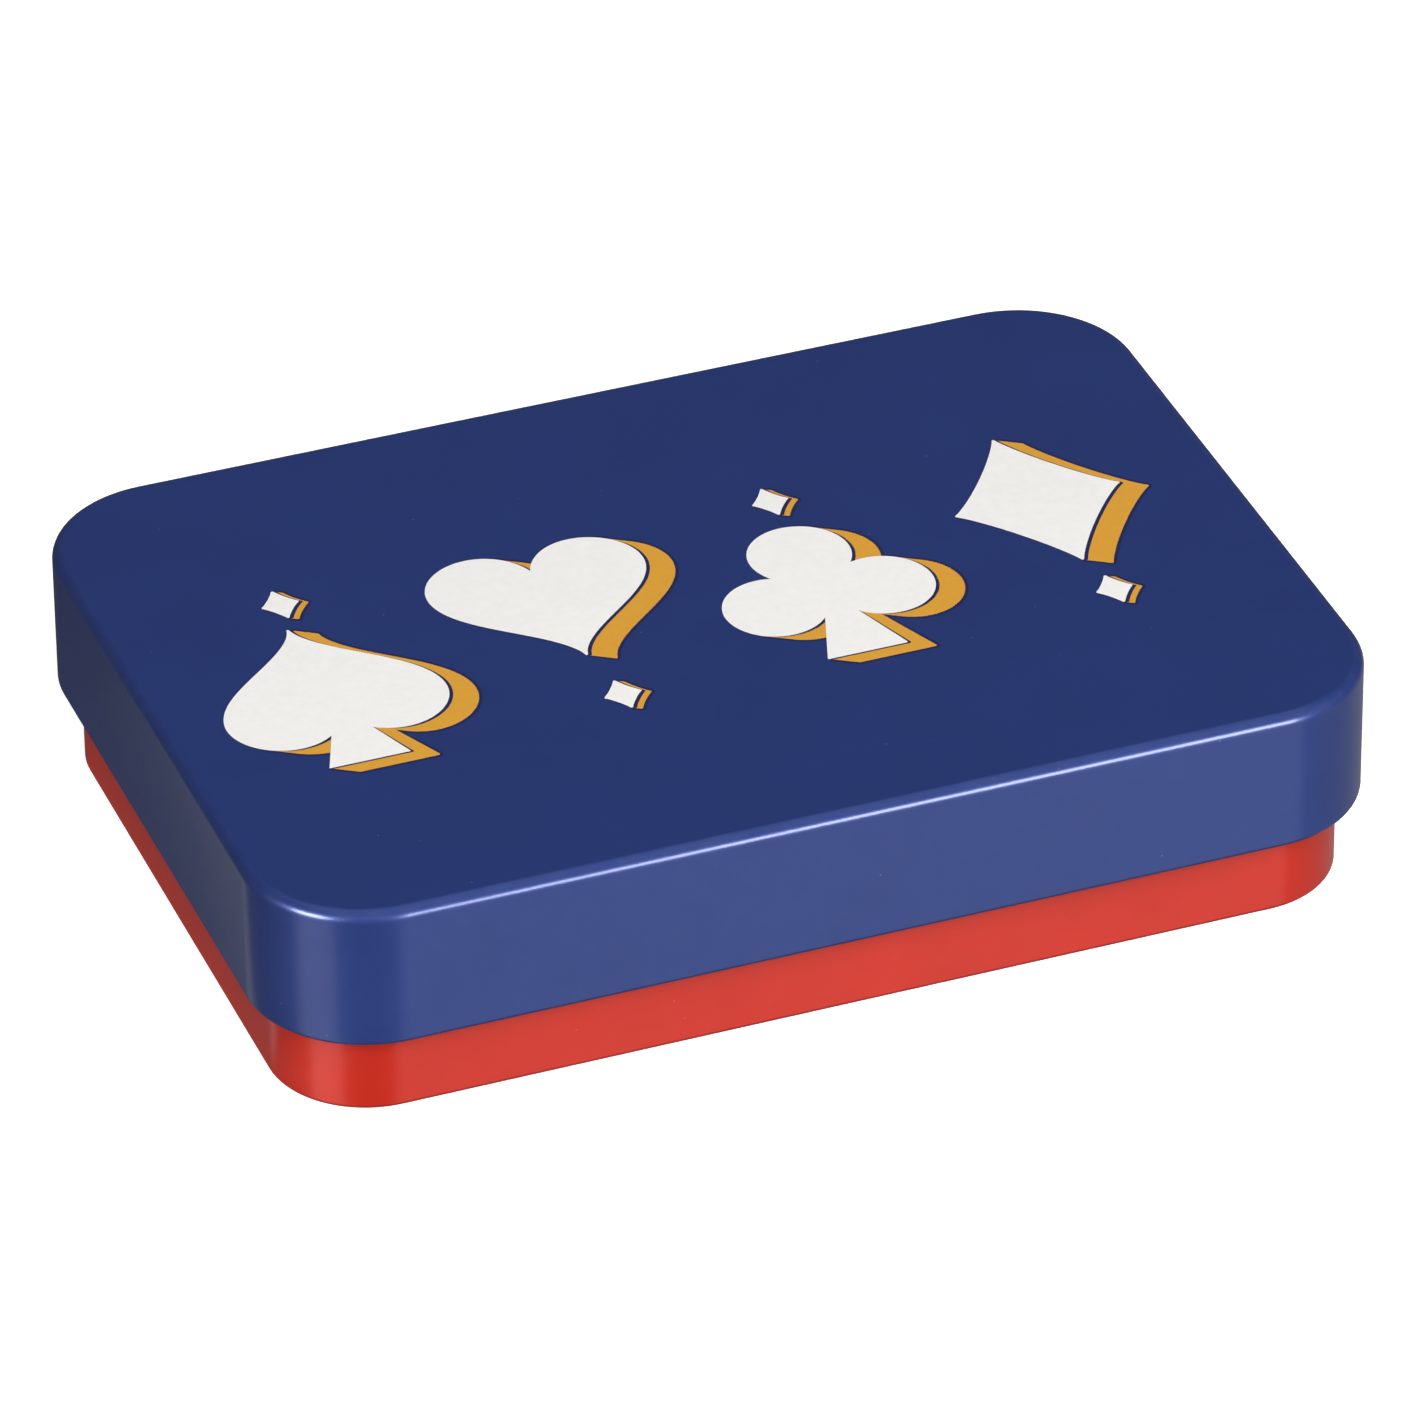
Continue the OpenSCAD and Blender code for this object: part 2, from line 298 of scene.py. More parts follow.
def make_piece(name, points, faces, finishes, marks=None, finish_of_face=None):
    """A mesh object at the origin, from points and faces in the tin's frame.

    Points that fall together are merged, which closes seams and poles.
    marks are numbers per point, kept as attributes for the materials."""
    mesh = bpy.data.meshes.new(name)
    mesh.from_pydata(points.reshape(-1, 3).tolist(), [], [list(face) for face in faces])
    for mark, values in (marks or {}).items():
        mesh.attributes.new(mark, "FLOAT", "POINT").data.foreach_set(
            "value", np.asarray(values, np.float32).ravel())
    for finish in finishes:
        mesh.materials.append(finish)
    if finish_of_face is not None:
        mesh.polygons.foreach_set("material_index", np.asarray(finish_of_face, np.int32))
    work = bmesh.new()
    work.from_mesh(mesh)
    bmesh.ops.remove_doubles(work, verts=work.verts, dist=MERGE)
    work.to_mesh(mesh)
    work.free()
    piece = bpy.data.objects.new(name, mesh)
    bpy.context.scene.collection.objects.link(piece)
    return piece


def give_thickness(piece, thickness, inside=0):
    """Grows the sheet inwards from its outer face; its inner face and cut
    edges take the finish that stands `inside` places further on."""
    sheet = piece.modifiers.new("sheet", "SOLIDIFY")
    sheet.thickness = thickness
    sheet.offset = -1
    sheet.use_even_offset = True
    sheet.use_quality_normals = True
    sheet.material_offset = inside
    sheet.material_offset_rim = inside


def settle(piece):
    """Makes one plain mesh of the piece and its modifiers, shaded smooth
    except across edges that turn sharply."""
    evaluated = piece.evaluated_get(bpy.context.evaluated_depsgraph_get())
    mesh = bpy.data.meshes.new_from_object(evaluated)
    piece.modifiers.clear()
    rough, piece.data = piece.data, mesh
    bpy.data.meshes.remove(rough)
    mesh.shade_smooth()
    mesh.set_sharp_from_angle(angle=SHARP)


def dress(piece, body, slot, *nodes):
    """Settles the piece, which rides on a body and stands for nodes. The slot is not used."""
    settle(piece)
    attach(piece, body)
    if nodes:
        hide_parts(*nodes)


# ---- finishes ----

def add_node(tree, kind, inputs=None, **settings):
    """Adds a shader node with its settings, and fills its inputs with plain
    values or with other nodes' outputs."""
    node = tree.nodes.new("ShaderNode" + kind)
    for name, value in settings.items():
        setattr(node, name, value)
    for name, value in (inputs or {}).items():
        if isinstance(value, bpy.types.NodeSocket):
            tree.links.new(value, node.inputs[name])
        else:
            node.inputs[name].default_value = value
    return node


def new_finish(name):
    """An empty material, its node tree, and the place of a point in the tin."""
    finish = bpy.data.materials.new(name)
    finish.use_nodes = True
    tree = finish.node_tree
    tree.nodes.clear()
    return finish, tree, add_node(tree, "TexCoord").outputs["Object"]


def complete(finish, inputs):
    """Gives a material its shader, with these inputs."""
    shader = add_node(finish.node_tree, "BsdfPrincipled", inputs)
    add_node(finish.node_tree, "OutputMaterial", {"Surface": shader.outputs[0]})
    return finish


def noise(tree, place, size, detail=4.0, roughness=0.6, **more):
    """Cloudy noise whose largest spots are about size across."""
    return add_node(tree, "TexNoise", {
        "Vector": place, "Scale": 1 / size, "Detail": detail, "Roughness": roughness,
        **more}).outputs["Fac"]


def streaks(tree, place, along, across, detail=3.0, **more):
    """Noise drawn out along the tin, into streaks of that length and width."""
    scaled = add_node(tree, "Mapping", {
        "Vector": place, "Scale": (1 / along, 1 / across, 1 / across)})
    return noise(tree, scaled.outputs[0], 1.0, detail, **more)


def spread(tree, value, low, high, start=NOISE_LOW, end=NOISE_HIGH):
    """Spreads what lies between start and end over low to high."""
    return add_node(tree, "MapRange", {
        "Value": value, "From Min": start, "From Max": end,
        "To Min": low, "To Max": high}).outputs[0]


def mixed(tree, share, first, second, blend="MIX"):
    """Two colours, with a share of the second laid over the first."""
    return add_node(tree, "Mix", {0: share, MIX_A: first, MIX_B: second},
                    data_type="RGBA", blend_type=blend).outputs[MIX_OUT]


def shaded(tree, ink, shade):
    """A colour multiplied by a shade."""
    return mixed(tree, 1.0, ink, shade, "MULTIPLY")


def bumped(tree, height, depth):
    """The normal of a skin that a pattern raises by up to depth."""
    return add_node(tree, "Bump", {
        "Strength": 1.0, "Distance": depth, "Height": height}).outputs[0]


def reckon(tree, operation, first, second=None):
    """One number reckoned from another, or from two."""
    inputs = {0: first} if second is None else {0: first, 1: second}
    return add_node(tree, "Math", inputs, operation=operation).outputs[0]


def orange_peel(tree, place):
    """A varnish's skin, 0.9 mm from crest to crest and 2 microns high."""
    peel = noise(tree, place, 0.9 * MM, detail=2.0, roughness=0.5)
    return bumped(tree, peel, 0.002 * MM)


def printed_tinplate(name, ink):
    """Offset-printed tinplate, baked and varnished.

    The ink is translucent, so the bright tin under it gives reflections in
    the ink's own colour, broad and soft. The clear varnish on top adds thin
    white ones. Rollers leave a faint mottle and the varnish a fine orange
    peel, a few specks of dust show in it, and it is thinner at the bends."""
    finish, tree, place = new_finish(name)
    mottle = noise(tree, place, 9 * MM)
    printed = shaded(tree, ink, spread(tree, mottle, 0.97, 1.03))
    # specks of dust under the varnish, most of them under 0.2 mm across
    dust = add_node(tree, "TexVoronoi", {"Vector": place, "Scale": 1 / (3.2 * MM)})
    speck = spread(tree, dust.outputs["Distance"], 0.3, 0.0, start=0.022, end=0.034)
    dusty = mixed(tree, speck, printed, linear("#8f96b4"))
    # the ink is rolled out thinner where the sheet was bent hardest
    bend = add_node(tree, "Attribute", attribute_name="bend").outputs["Fac"]
    patchy = spread(tree, noise(tree, place, 2.5 * MM), 0.0, 0.04, start=0.4, end=0.75)
    worn = mixed(tree, reckon(tree, "MULTIPLY", bend, patchy), dusty, linear("#8f94a8"))
    skin = orange_peel(tree, place)
    return complete(finish, {
        "Base Color": worn, "Metallic": 0.3, "Roughness": spread(tree, mottle, 0.37, 0.43),
        "Specular IOR Level": 0.2, "Coat Weight": 0.8, "Coat Roughness": 0.22,
        "Coat IOR": 1.5, "Normal": skin, "Coat Normal": skin})


def printing_ink(name, ink):
    """Opaque ink printed over the ground colour, under the same varnish.

    It hides the tin, so it is matt below and only the varnish gives it a
    thin white gloss. The screen leaves it a little uneven."""
    finish, tree, place = new_finish(name)
    screen = noise(tree, place, 0.8 * MM)
    skin = orange_peel(tree, place)
    return complete(finish, {
        "Base Color": shaded(tree, ink, spread(tree, screen, 0.96, 1.0)),
        "Roughness": 0.5, "Specular IOR Level": 0.3, "Coat Weight": 0.6,
        "Coat Roughness": 0.12, "Normal": skin, "Coat Normal": skin})


def bare_tinplate(name, tin):
    """Electrolytic tinplate under a clear lacquer, as rolled.

    Bright and soft, with fine lines along the way it was rolled, which
    stretch what it reflects."""
    finish, tree, place = new_finish(name)
    lines = streaks(tree, place, along=12 * MM, across=0.25 * MM)
    # the lacquer's thickness drifts over some 30 mm
    cloud = noise(tree, place, 30 * MM, detail=2.0, roughness=0.5)
    return complete(finish, {
        "Base Color": shaded(tree, tin, spread(tree, lines, 0.93, 1.04)),
        "Metallic": 1.0, "Roughness": spread(tree, cloud, 0.22, 0.28),
        "Coat Weight": 0.3, "Coat Roughness": 0.2,
        "Normal": bumped(tree, lines, 0.0008 * MM)})


def drawn_steel(name, steel):
    """Bright drawn steel wire: grey metal with fine scratches along it."""
    finish, tree, place = new_finish(name)
    lines = streaks(tree, place, along=5 * MM, across=0.06 * MM)
    return complete(finish, {
        "Base Color": shaded(tree, steel, spread(tree, lines, 0.8, 1.05)),
        "Metallic": 1.0, "Roughness": 0.28, "Normal": bumped(tree, lines, 0.001 * MM)})


def formed_polystyrene(name, plastic):
    """High-impact polystyrene sheet, vacuum-formed over a blasted tool.

    Black and matt, with the tool's fine grain and a little more shine
    where the sheet was drawn thin."""
    finish, tree, place = new_finish(name)
    # grain 0.35 mm across, so that it shows; the real one is half of that
    grain = noise(tree, place, 0.35 * MM, detail=3.0)
    flow = noise(tree, place, 14 * MM, detail=3.0, roughness=0.5)
    return complete(finish, {
        "Base Color": shaded(tree, plastic, spread(tree, flow, 0.85, 1.2)),
        "Roughness": spread(tree, flow, 0.42, 0.58), "IOR": 1.59,
        "Normal": bumped(tree, grain, 0.008 * MM)})


def uncoated_paper(name, paper):
    """Uncoated printing paper: off-white and dull, with fibres in it."""
    finish, tree, place = new_finish(name)
    fibres = streaks(tree, place, along=1.2 * MM, across=0.12 * MM, detail=4.0,
                     Distortion=1.5)
    return complete(finish, {
        "Base Color": shaded(tree, paper, spread(tree, fibres, 0.93, 1.03)),
        "Roughness": 0.85, "Specular IOR Level": 0.3,
        "Normal": bumped(tree, fibres, 0.004 * MM)})


def card_edge(name, board, first_height, pitch):
    """Cut edge of playing card board: two white plies on a grey core line.

    Each card has its own tint, from a random number per height."""
    finish, tree, place = new_finish(name)
    height = add_node(tree, "SeparateXYZ", {0: place}).outputs["Z"]
    above = reckon(tree, "SUBTRACT", height, first_height)
    layer = reckon(tree, "DIVIDE", above, pitch)
    tint = add_node(tree, "TexWhiteNoise", {"W": reckon(tree, "FLOOR", layer)},
                    noise_dimensions="1D").outputs["Value"]
    toned = shaded(tree, board, spread(tree, tint, 0.8, 1.0, start=0.0, end=1.0))
    # the core is a tenth of the card, at the middle of its thickness
    off_core = reckon(tree, "SUBTRACT", reckon(tree, "FRACT", layer), 0.47)
    from_core = reckon(tree, "ABSOLUTE", off_core)
    core = spread(tree, from_core, 0.45, 0.0, start=0.05, end=0.1)
    return complete(finish, {
        "Base Color": mixed(tree, core, toned, linear("#7d8796")),
        "Roughness": 0.8, "Specular IOR Level": 0.3})


def card_back(name, board, ink, contents):
    """Varnished back of a playing card: blue lattice in a white border.

    The lattice is thin white lines both ways aslant, 3 mm apart along the
    card, with a small diamond in each mesh, and the border is 3.6 mm wide. The varnish
    is embossed like linen and gives a soft sheen."""
    spacing, border = 3 * MM, 3.6 * MM
    # half a line's width and a diamond's edge, as shares of the spacing
    line_half, diamond_edge = 0.06, 0.36
    # how far the blue line, then the white one, reach into the lattice
    blue_line, white_line = 0.7 * MM, 1.3 * MM
    finish, tree, place = new_finish(name)
    top_card = len(SUITS) * contents.suit_cards + JOKERS - 1
    slip = contents.slip_turn * top_card
    centred = add_node(tree, "Mapping", {
        "Vector": place,
        "Location": (-contents.card_slip * math.cos(slip),
                     -contents.card_slip * math.sin(slip), 0.0)})
    plan = add_node(tree, "SeparateXYZ", {0: centred.outputs[0]}).outputs
    from_line = []
    for way in ("ADD", "SUBTRACT"):
        turn = reckon(tree, "DIVIDE", reckon(tree, way, plan["X"], plan["Y"]), spacing)
        from_line.append(reckon(tree, "PINGPONG", turn, 0.5))
    nearest = reckon(tree, "MINIMUM", *from_line)
    line = reckon(tree, "LESS_THAN", nearest, line_half)
    diamond = reckon(tree, "GREATER_THAN", nearest, diamond_edge)
    white = reckon(tree, "MAXIMUM", line, diamond)
    inside = []
    for axis, size in (("X", contents.card_width), ("Y", contents.card_depth)):
        reach = reckon(tree, "ABSOLUTE", plan[axis])
        inside.append(reckon(tree, "SUBTRACT", size / 2 - border, reach))
    depth = reckon(tree, "MINIMUM", *inside)
    panel = reckon(tree, "GREATER_THAN", depth, 0.0)
    frame_line = reckon(tree, "LESS_THAN", depth, blue_line)
    field = reckon(tree, "GREATER_THAN", depth, white_line)
    in_field = reckon(tree, "MULTIPLY", field, reckon(tree, "SUBTRACT", 1.0, white))
    either = reckon(tree, "MAXIMUM", frame_line, in_field)
    inked = reckon(tree, "MULTIPLY", panel, either)
    # linen embossing 0.5 mm apart, coarser than the real 0.3 mm so that it shows
    emboss = add_node(tree, "TexVoronoi", {"Vector": place, "Scale": 1 / (0.5 * MM)})
    skin = bumped(tree, emboss.outputs["Distance"], 0.004 * MM)
    return complete(finish, {
        "Base Color": mixed(tree, inked, board, ink), "Roughness": 0.45,
        "Coat Weight": 0.4, "Coat Roughness": 0.25, "Normal": skin, "Coat Normal": skin})


def studio_floor(name, pale):
    """Matt white paper sweep that glows a little, with a faint unevenness."""
    finish, tree, place = new_finish(name)
    cloud = noise(tree, place, 60 * MM, detail=2.0, roughness=0.5)
    return complete(finish, {
        "Base Color": shaded(tree, pale, spread(tree, cloud, 0.985, 1.0)),
        "Roughness": 0.9, "Specular IOR Level": 0.0,
        "Emission Color": linear("#ffffff"), "Emission Strength": 0.6})


# ---- the lid and its print ----

def tab_cuts(tin, *halves):
    """Where the back is cut across: so far to each side of each hinge tab."""
    return [side * tin.tab_place + edge * half
            for side in (-1, 1) for edge in (-1, 1) for half in halves]


def over_tabs(stations, tin, half):
    """Which columns stand at the back, within half of a hinge tab's middle."""
    points, angles = stations
    middle = (points + np.roll(points, -1, axis=0)) / 2
    at_back = (angles == math.pi / 2) & (np.roll(angles, -1) == math.pi / 2)
    return at_back & (np.abs(np.abs(middle[:, 0]) - tin.tab_place) < half)


def tinplate_pan(name, points, faces, bends, tin, printed, bare):
    """A pan from its outer face: printed there, bare inside and at its cuts."""
    piece = make_piece(name, points, faces, [printed, bare_tinplate(bare, tin.tin)],
                       {"bend": bends})
    give_thickness(piece, tin.sheet, inside=1)
    return piece


class TIN_OT_lid(bpy.types.Operator):
    """Build the lid: one drawn sheet with its edge rolled inwards"""
    bl_idname = "tin.lid"
    bl_label = "Lid"

    def execute(self, context):
        tin = context.scene.tinplate
        corner, bend, roll = tin.lid_corner, tin.lid_bend, tin.edge_roll
        top = LID[1, 2] - context.scene.tin_print.room
        notch_top = HINGE_Z + roll + tin.notch_gap
        half_notch = tin.tab_width / 2 + tin.tab_gap
        section = np.vstack([
            [[SHEET_CAP, top]],
            straight((SHEET_CAP, top), (corner - bend, top)),
            arc((corner - bend, top - bend), bend, 90, 0, BEND_STEPS),
            straight((corner, top - bend), (corner, HINGE_Z), notch_top),
            arc((corner - roll, HINGE_Z), roll, 0, -math.degrees(tin.roll_turn), ROLL_STEPS)])
        stations = stations_round(LID[1, 0] - corner, LID[1, 1] - corner, CORNER_STEPS,
                                  tab_cuts(tin, half_notch))
        points = carried_round(stations, section)
        columns, rows = points.shape[:2]
        # the skirt and its roll are cut away over each of the base's tabs
        skirt = section[:-1, 0] > corner - 3 * roll
        low = section[:-1, 1] <= notch_top + MERGE
        notch = over_tabs(stations, tin, half_notch)[:, None] & (skirt & low)
        quads = grid_faces(columns, rows, keep=~notch)[:, ::-1]
        bends = bend_of(section)
        bends[section[:, 1] > top - HAIR] = 0
        piece = tinplate_pan(
            "lid_shell", points, [*quads.tolist(), ring(columns, rows, 0)],
            np.broadcast_to(bends, (columns, rows)), tin,
            printed_tinplate("printed_tinplate_blue", tin.lid_ink), "bare_tinplate_lid")
        dress(piece, "lid", "blue_lacquer", "lid")
        return {"FINISHED"}


def heart_outline(count=1400):
    """The classic heart curve: x = 16 sin^3 t and
    y = 13 cos t - 5 cos 2t - 2 cos 3t - cos 4t."""
    t = np.linspace(0, 2 * math.pi, count)
    return np.stack([16 * np.sin(t) ** 3,
                     13 * np.cos(t) - 5 * np.cos(2 * t) - 2 * np.cos(3 * t) - np.cos(4 * t)],
                    axis=1)


def stem_outline(side_count=300, foot_count=200):
    """A stem that flares to a straight foot: half width 1 + 4.8 v^2.4 at the
    height -4 - 14 v, for a share v of the way down."""
    v = np.linspace(0, 1, side_count)
    side = np.stack([1 + 4.8 * v ** 2.4, -4 - 14 * v], axis=1)
    foot = np.stack([np.linspace(-5.8, 5.8, foot_count), np.full(foot_count, -18.0)], axis=1)
    return np.vstack([side, side * (-1, 1), foot])


def spade_outline():
    """A heart stood on its head, on a stem."""
    return np.vstack([heart_outline() * (1, -1), stem_outline()])


def club_outline(count=400):
    """Three discs of radius 7.3 on a stem."""
    discs = [arc(centre, 7.3, 0, 360, count) for centre in ((0, 8.7), (-8.2, -3), (8.2, -3))]
    return np.vstack([*discs, stem_outline()])


def diamond_outline(count=1600):
    """A diamond with sides drawn in a little: |x/12.5|^0.88 + |y/17|^0.88 = 1."""
    t = np.linspace(0, 2 * math.pi, count)
    power = 2 / 0.88
    return np.stack([12.5 * np.sign(np.cos(t)) * np.abs(np.cos(t)) ** power,
                     17 * np.sign(np.sin(t)) * np.abs(np.sin(t)) ** power], axis=1)


# each mark's outline, and how high its rays start, in the outline's own units
MARKS = {
    "spade": (spade_outline, -3.0),
    "heart": (heart_outline, 0.0),
    "club": (club_outline, -1.0),
    "diamond": (diamond_outline, 0.0),
}
MARK_RAYS, PIP_RAYS = 720, 160  # rays in the fan that fills a mark's outline
SWEEP_STEPS, SWEEP_SKIP = 16, 4  # stops of a swept outline, which has one point in four
WHITE, DARK, GOLD = 0, 1, 2  # places of the inks among a mark's finishes


def reach_of(outline, centre, grow, angles):
    """How far an outline, grown all round, reaches from its centre.

    In each direction it is the farthest point of the discs of radius grow
    round the outline's points: along + sqrt(grow^2 - across^2), where along
    and across are a point's distances along the ray and beside it."""
    from_centre = outline - centre
    ray = np.stack([np.cos(angles), np.sin(angles)], axis=1)
    along = ray @ from_centre.T
    across = ray[:, :1] * from_centre[:, 1] - ray[:, 1:] * from_centre[:, 0]
    room = grow ** 2 - across ** 2
    return np.where(room >= 0, along + np.sqrt(np.maximum(room, 0)), 0).max(axis=1)


def ink_layer(outline, centre, grow, low, high, rays):
    """A thin layer of ink: a fan of rays, closed by its edge and its foot.

    Point = centre + share * reach(angle) * (cos angle, sin angle), with the
    share 0, 1, 1, 0 at the heights high, high, low, low."""
    angles = np.linspace(0, 2 * math.pi, rays, endpoint=False)
    reach = reach_of(outline, centre, grow, angles)
    share = np.array([0, 1, 1, 0])
    out = reach[:, None] * share
    return np.stack([centre[0] + out * np.cos(angles)[:, None],
                     centre[1] + out * np.sin(angles)[:, None],
                     np.broadcast_to([high, high, low, low], out.shape)], axis=-1)


class TIN_OT_print(bpy.types.Operator):
    """Print the lid: the four suits in a staggered row, with small diamonds"""
    bl_idname = "tin.print"
    bl_label = "Print on the lid"

    def execute(self, context):
        ink = context.scene.tin_print
        finishes = [printing_ink("printing_ink_white", ink.face),
                    printing_ink("printing_ink_dark_blue", ink.line),
                    printing_ink("printing_ink_gold", ink.shadow)]
        shadow = np.array([ink.shadow_x, -ink.shadow_y])
        pip_shadow = shadow / 3
        scale = ink.height / np.ptp(spade_outline()[:, 1])
        pip = diamond_outline() * (ink.pip / np.ptp(diamond_outline()[:, 1]))
        for place, (mark, (outline_of, ray_start)) in enumerate(MARKS.items()):
            shape = outline_of()
            middle = shape.min(axis=0) + np.ptp(shape, axis=0) / 2
            column = (place - (len(MARKS) - 1) / 2) * ink.pitch
            side = 1 if place % 2 else -1
            at = np.array([column, side * ink.stagger]) - shadow / 2
            centre = (np.array([0, ray_start]) - middle) * scale + at
            self.print_mark("print_" + mark, (shape - middle) * scale + at, centre,
                            shadow, ink, finishes, MARK_RAYS)
            at = np.array([column, -side * ink.pip_place]) - pip_shadow / 2
            self.print_mark("print_pip_" + mark, pip + at, at,
                            pip_shadow, ink, finishes, PIP_RAYS)
        return {"FINISHED"}

    def print_mark(self, name, outline, centre, shadow, ink, finishes, rays):
        """One mark: dark rim and gold of the block shadow, then a dark line on
        the shadow's side of the white face.

        Each is the outline, swept along the shadow's fall and grown a little
        so that its edge is smooth. Their edges and feet don't meet."""
        grown, apart = 0.15 * MM, 0.01 * MM
        ground = LID[1, 2] - ink.room
        # four layers and some room over them, and a foot to each so much deeper
        step = ink.room / 5
        foot = step / 8
        line = ink.line_width / np.linalg.norm(shadow)

        def swept(first, last, steps):
            share = np.linspace(first, last, steps)[:, None, None]
            return (outline[::SWEEP_SKIP] + share * shadow).reshape(-1, 2)

        block = swept(line, 1, SWEEP_STEPS)
        block_centre = centre + shadow / 2
        layers = [
            (block, block_centre, grown + ink.shadow_rim, DARK),
            (block, block_centre, grown, GOLD),
            (swept(0, line, 3), centre, grown - apart, DARK),
            (outline, centre, grown, WHITE)]
        points, faces, finish_of_face = [], [], []
        for level, (shape, fan_centre, grow, finish) in enumerate(layers, start=1):
            layer = ink_layer(shape, fan_centre, grow, ground - level * foot,
                              ground + level * step, rays)
            first = sum(len(done) for done in points)
            quads = grid_faces(rays, layer.shape[1], first=first)[:, ::-1]
            points.append(layer.reshape(-1, 3))
            faces += quads.tolist()
            finish_of_face += [finish] * len(quads)
        piece = make_piece(name, np.vstack(points), faces, finishes,
                           finish_of_face=finish_of_face)
        dress(piece, "lid", "blue_lacquer")


# ---- the base and the hinge ----

class TIN_OT_base(bpy.types.Operator):
    """Build the base: a drawn sheet with a pressed panel, rolled rim and hinge tabs"""
    bl_idname = "tin.base"
    bl_label = "Base"

    def execute(self, context):
        tin = context.scene.tinplate
        corner, foot, rim = tin.base_corner, tin.foot_bend, tin.rim_roll
        # the tabs stand out behind, so the wall's place is taken from the front
        wall_y = -BASE[0, 1]
        rim_top = BASE[1, 2]
        turn = math.degrees(tin.roll_turn)
        # each window is as high as the tab that was folded out of it is long
        middle_of_sheet = tin.sheet / 2
        window_low = HINGE_Z - tin.edge_roll - tin.tab_bend
        strap = HINGE_Y - wall_y - tin.tab_bend
        window_high = (window_low + strap + math.pi / 2 * (tin.tab_bend + middle_of_sheet)
                       + tin.roll_turn * (tin.edge_roll - middle_of_sheet))
        # the slope round the panel falls as half a cosine, and runs a tenth of
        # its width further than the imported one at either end
        panel_edge = corner - tin.panel_inset
        past = 0.1
        share = np.linspace(0, 1, SLOPE_STEPS + 1)
        slope = np.stack([
            panel_edge - tin.panel_run * (1 + past - (1 + 2 * past) * share),
            tin.panel_rise * (1 + np.cos(math.pi * share)) / 2], axis=1)
        section = np.vstack([
            [[SHEET_CAP, tin.panel_rise]],
            straight((SHEET_CAP, tin.panel_rise), slope[0]),
            slope,
            straight(slope[-1], (corner - foot, 0)),
            arc((corner - foot, foot), foot, -90, 0, BEND_STEPS),
            straight((corner, foot), (corner, rim_top - rim), window_low, window_high),
            arc((corner - rim, rim_top - rim), rim, 0, turn, RIM_STEPS)])
        half_tab = tin.tab_width / 2
        half_window = half_tab + tin.tab_gap
        stations = stations_round(BASE[1, 0] - corner, wall_y - corner, CORNER_STEPS,
                                  tab_cuts(tin, half_window, half_tab))
        points = carried_round(stations, section)
        columns, rows = points.shape[:2]
        on_wall = ((section[:-1, 1] >= window_low - MERGE)
                   & (section[1:, 1] <= window_high + MERGE)
                   & (section[:-1, 0] > corner - MERGE)
                   & (section[1:, 0] > corner - MERGE))
        window = over_tabs(stations, tin, half_window)[:, None] & on_wall
        faces = grid_faces(columns, rows, keep=~window).tolist()
        faces.append(ring(columns, rows, 0)[::-1])
        bends = bend_of(section)
        bends[section[:, 0] < panel_edge] = 0
        marks = [np.broadcast_to(bends, (columns, rows)).ravel()]
        grids = [points.reshape(-1, 3)]
        # each tab leaves the foot of its window, bends outwards and is
        # rolled up round the wire; its red face is its outer one
        tab = np.vstack([
            arc((wall_y + tin.tab_bend, window_low), tin.tab_bend, 180, 90, TAB_STEPS),
            straight((wall_y + tin.tab_bend, window_low + tin.tab_bend),
                     (HINGE_Y, HINGE_Z - tin.edge_roll)),
            arc((HINGE_Y, HINGE_Z), tin.edge_roll, -90, turn - 90, ROLL_STEPS)])
        tab_mark = 0.8  # a tab is bent nearly all along
        for side in (-1, 1):
            across = side * tin.tab_place + np.array([half_tab, -half_tab])
            grid = np.stack([np.broadcast_to(part, (2, len(tab)))
                             for part in (across[:, None], tab[:, 0], tab[:, 1])], axis=-1)
            first = sum(len(done) for done in grids)
            faces += grid_faces(2, len(tab), closed=False, first=first).tolist()
            grids.append(grid.reshape(-1, 3))
            marks.append(np.full(2 * len(tab), tab_mark))
        piece = tinplate_pan(
            "base_shell", np.vstack(grids), faces, np.concatenate(marks), tin,
            printed_tinplate("printed_tinplate_red", tin.base_ink), "bare_tinplate_base")
        dress(piece, "base", "red_lacquer", "base")
        return {"FINISHED"}


class TIN_OT_hinge_wire(bpy.types.Operator):
    """Build the hinge wire: drawn steel with its cut ends rounded"""
    bl_idname = "tin.hinge_wire"
    bl_label = "Hinge wire"

    def execute(self, context):
        tin = context.scene.tinplate
        half_length = WIRE[1, 0]
        radius = np.ptp(WIRE[:, 2]) / 2
        rounding = radius / 3
        end = arc((rounding - half_length, radius - rounding), rounding, 180, 90, WIRE_STEPS)
        along = np.vstack([[[-half_length, 0]], end, [[HAIR + end[-1, 0], radius]]])
        along = np.vstack([along, along[::-1] * (-1, 1)])
        angle = np.linspace(0, 2 * math.pi, WIRE_COLUMNS, endpoint=False)
        # point = (x, hinge + radius * (cos angle, sin angle)), radius from the row
        points = np.stack([
            np.broadcast_to(along[:, 0], (len(angle), len(along))),
            HINGE_Y + along[:, 1] * np.cos(angle)[:, None],
            HINGE_Z + along[:, 1] * np.sin(angle)[:, None]], axis=-1)
        faces = grid_faces(*points.shape[:2]).tolist()
        piece = make_piece("drawn_hinge_wire", points, faces,
                           [drawn_steel("drawn_steel", tin.wire)])
        dress(piece, "base", "steel_wire", "hinge_wire")
        return {"FINISHED"}


# ---- what the tin holds ----

def whole_loop(quarter):
    """A loop from its first quarter, which runs from the right to the back."""
    return np.vstack([quarter,
                      quarter[::-1][1:] * (-1, 1),
                      quarter[1:] * (-1, -1),
                      quarter[::-1][1:-1] * (1, -1)])


